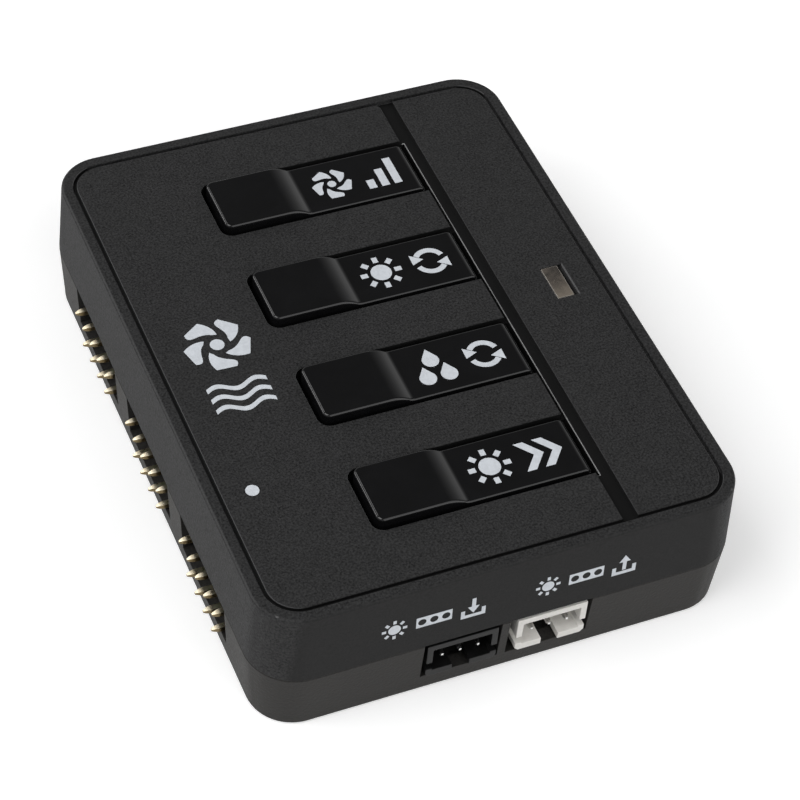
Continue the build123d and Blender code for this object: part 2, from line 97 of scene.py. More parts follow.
edgeFinish = {"angle": 32, "sharp": 35, "flatWeight": 80}  # degrees, degrees, share of the flat faces


def roundEdges(piece, width, segments, angle=edgeFinish["angle"], marked=False):
    # marked: only the edges that carry a weight
    step = piece.modifiers.new("round", "BEVEL")
    step.width = width
    step.segments = segments
    step.limit_method = "WEIGHT" if marked else "ANGLE"
    step.use_clamp_overlap = not marked
    step.angle_limit = math.radians(angle)
    step.miter_outer = "MITER_ARC"
    step.harden_normals = False
    settle(piece)
    piece.data.shade_smooth()
    piece.data.set_sharp_from_angle(angle=math.radians(edgeFinish["sharp"]))
    even = piece.modifiers.new("even", "WEIGHTED_NORMAL")
    even.weight = edgeFinish["flatWeight"]
    even.keep_sharp = True
    settle(piece)


def place(piece, body, material, replaced=()):
    # from millimetres to the frame, then onto its body
    piece.data.transform(Matrix.Scale(mm, 4))
    piece.data.materials.clear()
    piece.data.materials.append(material)
    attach(piece, body)
    if replaced:
        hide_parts(*replaced)
    return piece


def prism(name, outline, low, high, across):
    # a straight solid from a flat outline: across is the axis it is drawn out along
    bm = bmesh.new()
    turn = {"y": lambda a, b, c: (a, c, b), "z": lambda a, b, c: (a, b, c)}[across]
    lower = [bm.verts.new(turn(a, b, low)) for a, b in outline]
    upper = [bm.verts.new(turn(a, b, high)) for a, b in outline]
    bm.faces.new(lower)
    bm.faces.new(upper)
    for i in range(len(outline)):
        j = (i + 1) % len(outline)
        bm.faces.new((lower[i], lower[j], upper[j], upper[i]))
    return newPiece(name, meshFrom(name, bm))


def block(name, low, high):
    outline = [(low[0], low[1]), (high[0], low[1]), (high[0], high[1]), (low[0], high[1])]
    return prism(name, outline, low[2], high[2], "z")


def arc(centre, radius, start, end, steps):
    points = []
    for i in range(steps + 1):
        angle = math.radians(start + (end - start) * i / steps)
        points.append((centre[0] + radius * math.cos(angle), centre[1] + radius * math.sin(angle)))
    return points


copyTidy = {"merge": 0.002, "flat": 0.4}  # millimetres, degrees


def softCopy(name, node, width, segments, angle=edgeFinish["angle"], chosen=None):
    # the node's own shape with its sharp edges eased, as moulded edges are, or only the chosen ones
    mesh = nodes[node].data.copy()
    mesh.name = name
    if mesh.has_custom_normals:
        mesh.attributes.remove(mesh.attributes["custom_normal"])
    mesh.transform(Matrix.Scale(1 / mm, 4))
    bm = bmesh.new()
    bm.from_mesh(mesh)
    bmesh.ops.remove_doubles(bm, verts=bm.verts, dist=copyTidy["merge"])
    bmesh.ops.dissolve_limit(
        bm, angle_limit=math.radians(copyTidy["flat"]), verts=bm.verts, edges=bm.edges, delimit=set()
    )
    if chosen:
        weight = bm.edges.layers.float.new("bevel_weight_edge")
        for edge in bm.edges:
            if edge.is_convex and edge.calc_face_angle() > math.radians(angle) and chosen(edge):
                edge[weight] = 1.0
    bm.to_mesh(mesh)
    bm.free()
    piece = newPiece(name, mesh)
    for polygon in mesh.polygons:
        polygon.use_smooth = True
    roundEdges(piece, width, segments, angle, chosen is not None)
    return piece


# Shared surface effects
def makeGroup(name, inputs, outputs):
    group = bpy.data.node_groups.new(name, "ShaderNodeTree")
    for label, value in inputs.items():
        group.interface.new_socket(label, in_out="INPUT", socket_type="NodeSocketFloat").default_value = value
    for label in outputs:
        group.interface.new_socket(label, in_out="OUTPUT", socket_type="NodeSocketFloat")
    return group, group.nodes.new("NodeGroupInput"), group.nodes.new("NodeGroupOutput")


def addNode(tree, kind, **settings):
    node = tree.nodes.new(kind)
    for key, value in settings.items():
        if hasattr(node, key):
            setattr(node, key, value)
        else:
            node.inputs[key.replace("_", " ")].default_value = value
    return node


def wire(tree, *steps):
    # each step is (node, output, node, input)
    for source, output, target, socket in steps:
        tree.links.new(source.outputs[output], target.inputs[socket])


def scaledPoint(tree, scale):
    # the piece's own coordinates times a scale socket
    where = addNode(tree, "ShaderNodeTexCoord")
    times = addNode(tree, "ShaderNodeVectorMath", operation="SCALE")
    wire(tree, (where, "Object", times, "Vector"))
    tree.links.new(scale, times.inputs["Scale"])
    return times


def makeGrainGroup():
    # spark-eroded mould texture: fine pits over a slower unevenness
    group, ins, outs = makeGroup("sparkGrain", {"Grain": 5000.0}, ["Height", "Tone"])
    point = scaledPoint(group, ins.outputs["Grain"])
    fine = addNode(group, "ShaderNodeTexNoise", Scale=1.0, Detail=3.0, Roughness=0.62)
    pits = addNode(group, "ShaderNodeTexVoronoi", Scale=0.85)
    slow = addNode(group, "ShaderNodeTexNoise", Scale=0.16, Detail=2.0)
    add = addNode(group, "ShaderNodeMath", operation="MULTIPLY_ADD")
    add.inputs[1].default_value = 0.45
    spread = addNode(group, "ShaderNodeMapRange", clamp=True)
    spread.inputs["From Min"].default_value = 0.32
    spread.inputs["From Max"].default_value = 0.7
    mix = addNode(group, "ShaderNodeMath", operation="MULTIPLY_ADD")
    mix.inputs[1].default_value = 0.3
    wire(
        group,
        (point, "Vector", fine, "Vector"), (point, "Vector", pits, "Vector"),
        (point, "Vector", slow, "Vector"), (pits, "Distance", add, 0), (fine, "Fac", add, 2),
        (add, "Value", outs, "Height"),
        (fine, "Fac", spread, "Value"), (slow, "Fac", mix, 0), (spread, "Result", mix, 2),
        (mix, "Value", outs, "Tone"),
    )
    return group


def makeSmudgeGroup():
    # the faint cloudiness and hairlines of a handled glossy surface
    group, ins, outs = makeGroup("handledGloss", {"Cloud": 300.0, "Hair": 2500.0}, ["Cloudy", "Height"])
    far = scaledPoint(group, ins.outputs["Cloud"])
    near = scaledPoint(group, ins.outputs["Hair"])
    cloud = addNode(group, "ShaderNodeTexNoise", Scale=1.0, Detail=5.0, Roughness=0.6, Distortion=0.8)
    hair = addNode(group, "ShaderNodeTexNoise", Scale=1.0, Detail=2.0, Roughness=0.4)
    spread = addNode(group, "ShaderNodeMapRange", clamp=True)
    spread.inputs["From Min"].default_value = 0.35
    spread.inputs["From Max"].default_value = 0.75
    wire(
        group,
        (far, "Vector", cloud, "Vector"), (near, "Vector", hair, "Vector"),
        (cloud, "Fac", spread, "Value"), (spread, "Result", outs, "Cloudy"), (hair, "Fac", outs, "Height"),
    )
    return group


def makeEdgeGroup():
    # the thin line along edges just below a level face, where painted highlights are laid, and what lies
    # deeper than that line
    group, ins, outs = makeGroup("levelEdge", {"Level": 0.017, "Line": 0.0001}, ["Edge", "Below"])
    where = addNode(group, "ShaderNodeTexCoord")
    split = addNode(group, "ShaderNodeSeparateXYZ")
    drop = addNode(group, "ShaderNodeMath", operation="SUBTRACT")
    share = addNode(group, "ShaderNodeMath", operation="DIVIDE")
    start = addNode(group, "ShaderNodeMapRange", clamp=True)
    start.inputs["From Min"].default_value = 0.02
    start.inputs["From Max"].default_value = 0.15
    stop = addNode(group, "ShaderNodeMapRange", clamp=True)
    stop.inputs["From Min"].default_value = 0.9
    stop.inputs["From Max"].default_value = 1.2
    line = addNode(group, "ShaderNodeMath", operation="SUBTRACT", use_clamp=True)
    wire(
        group,
        (where, "Object", split, "Vector"), (ins, "Level", drop, 0), (split, "Z", drop, 1),
        (drop, "Value", share, 0), (ins, "Line", share, 1), (share, "Value", start, "Value"),
        (share, "Value", stop, "Value"),
        (start, "Result", line, 0), (stop, "Result", line, 1),
        (line, "Value", outs, "Edge"), (stop, "Result", outs, "Below"),
    )
    return group


grainGroup = makeGrainGroup()
smudgeGroup = makeSmudgeGroup()
edgeGroup = makeEdgeGroup()


def useGroup(tree, group, **values):
    node = tree.nodes.new("ShaderNodeGroup")
    node.node_tree = group
    for key, value in values.items():
        node.inputs[key].default_value = value
    return node


def newMaterial(name, **sockets):
    material = bpy.data.materials.new(name)
    material.use_nodes = True
    tree = material.node_tree
    shader = tree.nodes["Principled BSDF"]
    for key, value in sockets.items():
        shader.inputs[key.replace("_", " ")].default_value = value
    return material, tree, shader


def mixColour(tree, factor, output, low, high, shader, socket="Base Color"):
    # colour sockets of the Mix node are picked by place, since its names repeat
    mix = addNode(tree, "ShaderNodeMix", data_type="RGBA")
    mix.inputs[6].default_value = (*low, 1)
    mix.inputs[7].default_value = (*high, 1)
    tree.links.new(factor.outputs[output], mix.inputs[0])
    tree.links.new(mix.outputs[2], shader.inputs[socket])
    return mix


def overColour(tree, under, factor, output, colour, shader):
    # lays a colour over the mix below by a mask
    mix = addNode(tree, "ShaderNodeMix", data_type="RGBA")
    mix.inputs[7].default_value = (*colour, 1)
    tree.links.new(under.outputs[2], mix.inputs[6])
    tree.links.new(factor.outputs[output], mix.inputs[0])
    tree.links.new(mix.outputs[2], shader.inputs["Base Color"])
    return mix


def overValue(tree, under, output, factor, mask, value, shader, socket):
    # lays a value over the one below by a mask
    mix = addNode(tree, "ShaderNodeMix", data_type="FLOAT")
    mix.inputs[3].default_value = value
    tree.links.new(under.outputs[output], mix.inputs[2])
    tree.links.new(factor.outputs[mask], mix.inputs[0])
    tree.links.new(mix.outputs[0], shader.inputs[socket])
    return mix


def rangeOf(tree, source, output, low, high):
    # runs from 0 at low to 1 at high
    spread = addNode(tree, "ShaderNodeMapRange", clamp=True)
    spread.inputs["From Min"].default_value = low
    spread.inputs["From Max"].default_value = high
    tree.links.new(source.outputs[output], spread.inputs["Value"])
    return spread


def timesOf(tree, first, firstOutput, second, secondOutput):
    times = addNode(tree, "ShaderNodeMath", operation="MULTIPLY")
    wire(tree, (first, firstOutput, times, 0), (second, secondOutput, times, 1))
    return times


def spreadTo(tree, factor, output, low, high, shader, socket):
    spread = addNode(tree, "ShaderNodeMapRange", clamp=True)
    spread.inputs["To Min"].default_value = low
    spread.inputs["To Max"].default_value = high
    wire(tree, (factor, output, spread, "Value"), (spread, "Result", shader, socket))
    return spread


def bumpTo(tree, factor, output, strength, distance, shader):
    bump = addNode(tree, "ShaderNodeBump", Strength=strength, Distance=distance)
    wire(tree, (factor, output, bump, "Height"), (bump, "Normal", shader, "Normal"))


def grainPlastic(name, look):
    material, tree, shader = newMaterial(name, Specular_IOR_Level=look["specular"])
    grain = useGroup(tree, grainGroup, Grain=look["grain"])
    mixColour(tree, grain, "Tone", look["dark"], look["light"], shader)
    spreadTo(tree, grain, "Tone", look["rough"][0], look["rough"][1], shader, "Roughness")
    bumpTo(tree, grain, "Height", look["strength"], look["depth"] * mm, shader)
    return material


def mouldedCover(name, look):
    # grained plastic with a painted highlight along its top edges, grooves, channel and openings darkened by
    # painted shade and given a polished smoothness, and a smoother front darkened by painted shade
    material, tree, shader = newMaterial(name, Specular_IOR_Level=look["specular"])
    grain = useGroup(tree, grainGroup, Grain=look["grain"])
    edge = useGroup(tree, edgeGroup, Level=topLevel * mm, Line=look["line"] * mm)
    split = addNode(tree, "ShaderNodeSeparateXYZ")
    where = addNode(tree, "ShaderNodeTexCoord")
    wire(tree, (where, "Object", split, "Vector"))
    within = None
    for axis, limit in zip("XY", look["panel"]):
        away = addNode(tree, "ShaderNodeMath", operation="ABSOLUTE")
        wire(tree, (split, axis, away, 0))
        reach = rangeOf(tree, away, "Value", (limit + look["fade"]) * mm, (limit - look["fade"]) * mm)
        within = timesOf(tree, within, "Result", reach, "Result") if within else reach
    # painted shade: the grooves, channel and openings inside the panel are darkened where shade falls in
    # them; their lower roughness and flat bump are the polished finish
    recessShadeAndPolish = timesOf(tree, within, "Value", edge, "Below")
    # the painted highlight line runs along the lengthwise edges, fainter on the left rim, and on the lip in
    # the channel
    leftRimHighlight = rangeOf(tree, split, "X", look["leftRimHighlight"][0] * mm, look["leftRimHighlight"][1] * mm)
    leftRimHighlight.inputs["To Max"].default_value = look["rimHighlightShare"]
    highlighted = addNode(tree, "ShaderNodeMath", operation="MAXIMUM")
    wire(tree, (within, "Value", highlighted, 0), (leftRimHighlight, "Result", highlighted, 1))
    facing = addNode(tree, "ShaderNodeSeparateXYZ")
    sideways = addNode(tree, "ShaderNodeMath", operation="ABSOLUTE")
    wire(tree, (where, "Normal", facing, "Vector"), (facing, "X", sideways, 0))
    lengthwise = rangeOf(tree, sideways, "Value", look["sideways"][0], look["sideways"][1])
    line = timesOf(tree, timesOf(tree, highlighted, "Value", lengthwise, "Result"), "Value", edge, "Edge")
    # painted highlight on the lip along the channel's side
    lip = useGroup(tree, edgeGroup, Level=(topLevel - look["channel"]) * mm, Line=look["line"] * mm)
    lipSide = rangeOf(tree, split, "X", look["lipSide"][0] * mm, look["lipSide"][1] * mm)
    lipHighlightLine = timesOf(tree, timesOf(tree, lipSide, "Result", within, "Value"), "Value", lip, "Edge")
    front = rangeOf(tree, split, "Y", look["front"][0] * mm, look["front"][1] * mm)
    front.inputs["To Max"].default_value = look["frontShare"]
    base = mixColour(tree, grain, "Tone", look["dark"], look["light"], shader)
    # painted shade: the front side is given a darker colour; its missing grain is the smoother finish
    base = overColour(tree, base, front, "Result", look["frontShade"], shader)
    # painted shade in the grooves, channel and openings
    base = overColour(tree, base, recessShadeAndPolish, "Value", look["recessShade"], shader)
    # painted highlight along the edges of the top face and the left rim
    base = overColour(tree, base, line, "Value", look["edgeHighlight"], shader)
    overColour(tree, base, lipHighlightLine, "Value", look["lipHighlight"], shader)
    rough = spreadTo(tree, grain, "Tone", look["rough"][0], look["rough"][1], shader, "Roughness")
    rough = overValue(tree, rough, "Result", edge, "Below", look["wallRough"], shader, "Roughness")
    rough = overValue(tree, rough, 0, line, "Value", look["edgeRough"], shader, "Roughness")
    overValue(tree, rough, 0, recessShadeAndPolish, "Value", look["polishRough"], shader, "Roughness")
    bump = addNode(tree, "ShaderNodeBump", Strength=look["strength"], Distance=look["depth"] * mm)
    height = overValue(tree, grain, "Height", front, "Result", look["flatHeight"], bump, "Height")
    overValue(tree, height, 0, recessShadeAndPolish, "Value", look["flatHeight"], bump, "Height")
    wire(tree, (bump, "Normal", shader, "Normal"))
    return material


def glossPlastic(name, look):
    material, tree, shader = newMaterial(name, Specular_IOR_Level=look["specular"])
    smudge = useGroup(tree, smudgeGroup, Cloud=look["cloud"], Hair=look["hair"])
    mixColour(tree, smudge, "Cloudy", look["dark"], look["light"], shader)
    spreadTo(tree, smudge, "Cloudy", look["rough"][0], look["rough"][1], shader, "Roughness")
    bumpTo(tree, smudge, "Height", look["strength"], look["depth"] * mm, shader)
    return material


def platedMetal(name, look):
    material, tree, shader = newMaterial(name, Metallic=1.0)
    smudge = useGroup(tree, smudgeGroup, Cloud=look["cloud"], Hair=look["hair"])
    base = mixColour(tree, smudge, "Cloudy", look["dark"], look["light"], shader)
    # painted shade: the sides and undersides are made browner, standing in for the shaded surroundings they
    # reflect
    if "paintedShade" in look:  # browner on the sides and below
        facing = addNode(tree, "ShaderNodeSeparateXYZ")
        wire(tree, (addNode(tree, "ShaderNodeTexCoord"), "Normal", facing, "Vector"))
        shadedFaces = rangeOf(tree, facing, "Z", look["upward"][0], look["upward"][1])
        overColour(tree, base, shadedFaces, "Result", look["paintedShade"], shader)
    spreadTo(tree, smudge, "Cloudy", look["rough"][0], look["rough"][1], shader, "Roughness")
    bumpTo(tree, smudge, "Height", look["strength"], look["depth"] * mm, shader)
    return material


coverLook = {
    "grain": 4300, "dark": (0.0045, 0.0045, 0.0047), "light": (0.0385, 0.0385, 0.039), "rough": (0.42, 0.6),
    "specular": 0.16, "strength": 0.7, "depth": 0.045, "flatHeight": 0.5, "panel": (25.03, 33.28),
    "fade": 0.02, "wallRough": 0.66,
    # painted highlight: the edge tone, with the left rim's reach and share
    "line": 0.11, "edgeHighlight": (0.08, 0.08, 0.081), "edgeRough": 0.32, "leftRimHighlight": (-26.05, -26.15),
    "rimHighlightShare": 0.3, "sideways": (0.1, 0.25), "channel": 0.6, "lipSide": (12.8, 12.9),
    # painted highlight: the lip tone
    # painted shade: the polish tone darkens the recesses
    "lipHighlight": (0.3, 0.3, 0.3), "recessShade": (0.0095, 0.0095, 0.0095), "polishRough": 0.28,
    # painted shade: the front tone darkens the front side
    "front": (-34.4, -34.75), "frontShade": (0.0125, 0.0125, 0.0124), "frontShare": 0.8,
}
caseLook = {
    "grain": 3400, "dark": (0.0085, 0.0081, 0.0075), "light": (0.029, 0.0273, 0.0252), "rough": (0.5, 0.68),
    "specular": 0.24, "strength": 0.65, "depth": 0.05,
}
keyLook = {
    "cloud": 260, "hair": 1500, "dark": (0.004, 0.004, 0.0043), "light": (0.0055, 0.0055, 0.006),
    "rough": (0.07, 0.13), "specular": 0.5, "strength": 0.05, "depth": 0.01,
}
blackHeaderLook = {
    "cloud": 900, "hair": 5000, "dark": (0.0045, 0.0045, 0.0045), "light": (0.008, 0.008, 0.008),
    "rough": (0.34, 0.46), "specular": 0.24, "strength": 0.2, "depth": 0.02,
}
whiteHeaderLook = {
    "cloud": 900, "hair": 5000, "dark": (0.74, 0.72, 0.68), "light": (0.83, 0.815, 0.78),
    "rough": (0.34, 0.48), "specular": 0.5, "strength": 0.2, "depth": 0.02,
}
inkLook = {
    "cloud": 1500, "hair": 6000, "dark": (0.6, 0.63, 0.67), "light": (0.7, 0.735, 0.78),
    "rough": (0.4, 0.55), "specular": 0.4, "strength": 0.15, "depth": 0.012,
}
goldLook = {
    "cloud": 1500, "hair": 6000, "dark": (0.82, 0.71, 0.49), "light": (0.97, 0.9, 0.73),
    # painted shade: the brown for the sides and undersides
    "paintedShade": (0.2, 0.155, 0.085), "upward": (0.75, 0.3), "rough": (0.26, 0.36),
    "strength": 0.1, "depth": 0.006,
}
tinLook = {
    "cloud": 1500, "hair": 6000, "dark": (0.62, 0.62, 0.61), "light": (0.8, 0.8, 0.79),
    "rough": (0.2, 0.34), "strength": 0.15, "depth": 0.01,
}
zincLook = {
    "cloud": 700, "hair": 4000, "dark": (0.34, 0.34, 0.35), "light": (0.52, 0.52, 0.53),
    "rough": (0.25, 0.42), "strength": 0.2, "depth": 0.02,
}
aluminiumLook = {
    "cloud": 500, "hair": 3000, "dark": (0.6, 0.6, 0.61), "light": (0.75, 0.75, 0.76),
    "rough": (0.25, 0.4), "strength": 0.1, "depth": 0.01,
}
switchLook = {
    "cloud": 700, "hair": 4000, "dark": (0.015, 0.015, 0.015), "light": (0.03, 0.03, 0.03),
    "rough": (0.35, 0.5), "specular": 0.5, "strength": 0.2, "depth": 0.02,
}
chipLook = {
    "grain": 4000, "dark": (0.014, 0.014, 0.014), "light": (0.03, 0.03, 0.03), "rough": (0.5, 0.65),
    "specular": 0.4, "strength": 0.4, "depth": 0.03,
}
lampLook = {
    "cloud": 900, "hair": 5000, "dark": (0.7, 0.68, 0.6), "light": (0.8, 0.78, 0.7),
    "rough": (0.3, 0.4), "specular": 0.5, "strength": 0.1, "depth": 0.01,
}

coverPlastic = mouldedCover("coverPlastic", coverLook)
casePlastic = grainPlastic("casePlastic", caseLook)
chipEpoxy = grainPlastic("chipEpoxy", chipLook)
pianoBlack = glossPlastic("pianoBlack", keyLook)
blackHeader = glossPlastic("blackHeader", blackHeaderLook)
whiteHeader = glossPlastic("whiteHeader", whiteHeaderLook)
whiteInk = glossPlastic("whiteInk", inkLook)
switchPlastic = glossPlastic("switchPlastic", switchLook)
lampWhite = glossPlastic("lampWhite", lampLook)
goldPlate = platedMetal("goldPlate", goldLook)
tinPlate = platedMetal("tinPlate", tinLook)
zincSteel = platedMetal("zincSteel", zincLook)
canAluminium = platedMetal("canAluminium", aluminiumLook)

lensLook = {
    "dark": (0.09, 0.08, 0.07), "light": (0.26, 0.22, 0.185), "near": (0.4, 0.345, 0.28),
    "borderHighlight": (0.5, 0.46, 0.41), "line": 0.14, "level": 0.05, "rough": (0.1, 0.2), "cloud": 420, "hair": 4000,
}


def smokyLens():
    # cloudy brown-grey, paler towards the front, with a painted highlight along the thin border of its top
    # face
    material, tree, shader = newMaterial("smokyLens", Transmission_Weight=0.45, IOR=1.49)
    smudge = useGroup(tree, smudgeGroup, Cloud=lensLook["cloud"], Hair=lensLook["hair"])
    edge = useGroup(tree, edgeGroup, Level=(topLevel - lensLook["level"]) * mm, Line=lensLook["line"] * mm)
    base = mixColour(tree, smudge, "Cloudy", lensLook["dark"], lensLook["light"], shader)
    split = addNode(tree, "ShaderNodeSeparateXYZ")
    wire(tree, (addNode(tree, "ShaderNodeTexCoord"), "Object", split, "Vector"))
    lensLow, lensHigh = box("light_pipe")
    nearEnd = rangeOf(tree, split, "Y", (lensLow.y + lensHigh.y) / 2 * mm, lensLow.y * mm)
    base = overColour(tree, base, nearEnd, "Result", lensLook["near"], shader)
    # painted highlight along the border of the top face
    overColour(tree, base, edge, "Edge", lensLook["borderHighlight"], shader)
    spreadTo(tree, smudge, "Cloudy", lensLook["rough"][0], lensLook["rough"][1], shader, "Roughness")
    return material


boardLook = {
    "mask": (0.006, 0.035, 0.016), "trace": (0.02, 0.085, 0.04), "scale": 420, "gap": 0.09, "rough": 0.3,
    "strength": 0.3, "depth": 0.02,
}


def solderMask():
    # green mask with the paler lines of copper under it
    material, tree, shader = newMaterial("solderMask", Roughness=boardLook["rough"])
    where = addNode(tree, "ShaderNodeTexCoord")
    times = addNode(tree, "ShaderNodeVectorMath", operation="SCALE")
    times.inputs["Scale"].default_value = boardLook["scale"]
    bricks = addNode(tree, "ShaderNodeTexBrick", Scale=1.0, Mortar_Size=boardLook["gap"])
    wire(tree, (where, "Object", times, "Vector"), (times, "Vector", bricks, "Vector"))
    mixColour(tree, bricks, "Fac", boardLook["mask"], boardLook["trace"], shader)
    bumpTo(tree, bricks, "Fac", boardLook["strength"], boardLook["depth"] * mm, shader)
    return material


lensPlastic = smokyLens()
boardMask = solderMask()
print("materials made:", len(bpy.data.materials))


# Housing: both shells with their moulded edges eased
shellEdge = {"cover": 0.1, "case": 0.1, "segments": 2, "levels": (topLevel, topLevel - coverLook["channel"])}


def onTop(edge):
    # edges of the openings in the top face and in the channel's floor
    heights = [vertex.co.z for vertex in edge.verts]
    return any(all(abs(z - level) < copyTidy["merge"] for z in heights) for level in shellEdge["levels"])


cover = softCopy("cover_shell", "top_cover", shellEdge["cover"], shellEdge["segments"], chosen=onTop)
place(cover, "hub", coverPlastic, ["top_cover"])
case = softCopy("case_shell", "bottom_case", shellEdge["case"], shellEdge["segments"])
place(case, "hub", casePlastic, ["bottom_case"])
print("housing done")


# Keys
keyHigh = box("fan_speed_key")[1]
keyShape = {
    "left": -11.35, "padEnd": -4.2, "slopeEnd": -1.1, "footRadius": 1.1, "width": 7.5, "labelTop": topLevel,
    "skirt": 14.2, "roll": 1.0, "corner": 0.8, "edge": 0.3, "edgeSegments": 6, "skin": 1.1, "arcSteps": 18,
    "arcStep": 0.09, "lipReach": 1.3, "lipTop": 15.1, "lipThick": 0.8, "postX": -7.775, "postRadius": 1.5,
    "postLow": 14.05, "postSteps": 35, "ribThick": 0.8, "ribLow": 14.65, "ribBite": 0.3, "pivotX": 10.6,
    "pivotLevel": 13.6, "pivotRadius": 1.0, "tabRadius": 1.7, "stubEnd": 5.65, "stubBite": 0.2,
    "lastTurn": 350, "over": 1,
}


def keyProfile(shape):
    right, padTop, labelTop = keyHigh.x, keyHigh.z, shape["labelTop"]
    run, rise = shape["slopeEnd"] - shape["padEnd"], padTop - labelTop
    foot = shape["footRadius"]
    crest = (run**2 + rise**2) / (2 * rise) - foot
    turn = math.degrees(2 * math.atan2(rise, run))
    outline = [(shape["left"], shape["skirt"]), (shape["left"], padTop)]
    steps = [round(math.radians(turn) * radius / shape["arcStep"]) for radius in (crest, foot)]
    outline += arc((shape["padEnd"], padTop - crest), crest, 90, 90 - turn, steps[0])
    outline += arc((shape["slopeEnd"], labelTop + foot), foot, 270 - turn, 270, steps[1])[1:]
    outline += arc((right - shape["roll"], labelTop - shape["roll"]), shape["roll"], 90, 0, shape["arcSteps"])
    return outline + [(right, shape["skirt"])]


def keyPlan(shape):
    half, left, corner = shape["width"] / 2, shape["left"], shape["corner"]
    outline = [(keyHigh.x + shape["over"], -half), (keyHigh.x + shape["over"], half)]
    outline += arc((left + corner, half - corner), corner, 90, 180, shape["arcSteps"])
    return outline + arc((left + corner, corner - half), corner, 180, 270, shape["arcSteps"])


def keyHollow(shape):
    left, right = shape["left"] + shape["skin"], keyHigh.x - shape["skin"]
    padUnder, labelUnder = keyHigh.z - shape["skin"], shape["labelTop"] - shape["skin"]
    back, low = shape["skin"] / 2, shape["skirt"] - shape["over"]
    outline = [(left, low), (left, padUnder), (shape["padEnd"] - back, padUnder)]
    outline += [(shape["slopeEnd"] - back, labelUnder), (right, labelUnder), (right, low)]
    return outline


def keyPivot(shape, side):
    centre = (shape["pivotX"], shape["pivotLevel"])
    inner, outer = shape["width"] / 2 - shape["skin"], shape["width"] / 2
    top = shape["labelTop"] - shape["skin"] / 2
    tab = arc(centre, shape["tabRadius"], 180, 360, shape["arcSteps"])
    tab += [(centre[0] + shape["tabRadius"], top), (centre[0] - shape["tabRadius"], top)]
    stub = arc(centre, shape["pivotRadius"], 0, shape["lastTurn"], 2 * shape["arcSteps"])
    tabReach = sorted((side * inner, side * outer))
    stubReach = sorted((side * (inner + shape["stubBite"]), side * shape["stubEnd"]))
    return prism("tab", tab, *tabReach, "y"), prism("stub", stub, *stubReach, "y")


def makeKey(shape):
    half, over = shape["width"] / 2, shape["over"]
    key = prism("key", keyProfile(shape), -half - over, half + over, "y")
    carve(key, prism("plan", keyPlan(shape), shape["skirt"] - over, keyHigh.z + over, "z"), "INTERSECT")
    roundEdges(key, shape["edge"], shape["edgeSegments"])
    inside = half - shape["skin"]
    carve(key, prism("hollow", keyHollow(shape), -inside, inside, "y"), "DIFFERENCE")
    lipHalf = half - shape["corner"]
    lip = (shape["left"] - shape["lipReach"], -lipHalf, shape["lipTop"] - shape["lipThick"])
    carve(key, block("lip", lip, (shape["left"] + shape["skin"] / 2, lipHalf, shape["lipTop"])), "UNION")
    rib = (shape["postX"] - shape["ribThick"] / 2, -inside - shape["ribBite"], shape["ribLow"])
    under = keyHigh.z - shape["skin"] / 2
    ribTop = (shape["postX"] + shape["ribThick"] / 2, inside + shape["ribBite"], under)
    carve(key, block("rib", rib, ribTop), "UNION")
    post = arc((shape["postX"], 0), shape["postRadius"], 0, shape["lastTurn"], shape["postSteps"])
    carve(key, prism("post", post, shape["postLow"], under, "z"), "UNION")
    for side in (-1, 1):
        for tool in keyPivot(shape, side):
            carve(key, tool, "UNION")
    for polygon in key.data.polygons:
        polygon.use_smooth = True
    key.data.set_sharp_from_angle(angle=math.radians(edgeFinish["angle"]))
    return key


keyHinges = [joint for joint in frame["joints"] if joint["type"] == "hinge"]
firstKey = makeKey(keyShape)
for hinge in keyHinges:
    body = hinge["child"]
    key = newPiece(body + "_cap", firstKey.data.copy())
    key.data.transform(Matrix.Translation((0, hinge["pos_m"][1] / mm, 0)))
    place(key, body, pianoBlack, [body + "_key"])
bpy.data.objects.remove(firstKey)
print("keys done:", len(keyHinges))


# Window, headers and pins
pieceEdge = {
    "lens": 0.12, "header": 0.09, "pin": 0.045, "segments": 2,
    "taperEase": 0.4, "taperSteps": 5, "taperAngle": (12, 30), "taperReach": 1.0,
}
lens = softCopy("window_lens", "light_pipe", pieceEdge["lens"], pieceEdge["segments"])
place(lens, "hub", lensPlastic, ["light_pipe"])
headers = {"led_in_header": blackHeader, "led_out_header": whiteHeader, "power_header": blackHeader}
headers.update({"fan_header_" + letter: blackHeader for letter in "abc"})
for node, material in headers.items():
    header = softCopy(node + "_body", node, pieceEdge["header"], pieceEdge["segments"])
    place(header, "hub", material, [node])
pins = {"led_in_pins": tinPlate, "led_out_pins": tinPlate, "power_pins": tinPlate}
pins.update({"fan_pins_" + letter: goldPlate for letter in "abc"})
for node, material in pins.items():
    if material is goldPlate:  # the points run into the shafts in a long curve
        tip = box(node)[0].x + pieceEdge["taperReach"]
        contacts = softCopy(
            node + "_row", node, pieceEdge["taperEase"], pieceEdge["taperSteps"], pieceEdge["taperAngle"][0],
            lambda edge: max(v.co.x for v in edge.verts) < tip
            and edge.calc_face_angle() < math.radians(pieceEdge["taperAngle"][1]),
        )
        roundEdges(contacts, pieceEdge["pin"], pieceEdge["segments"])
    else:
        contacts = softCopy(node + "_row", node, pieceEdge["pin"], pieceEdge["segments"])
    place(contacts, "hub", material, [node])
print("connectors done")


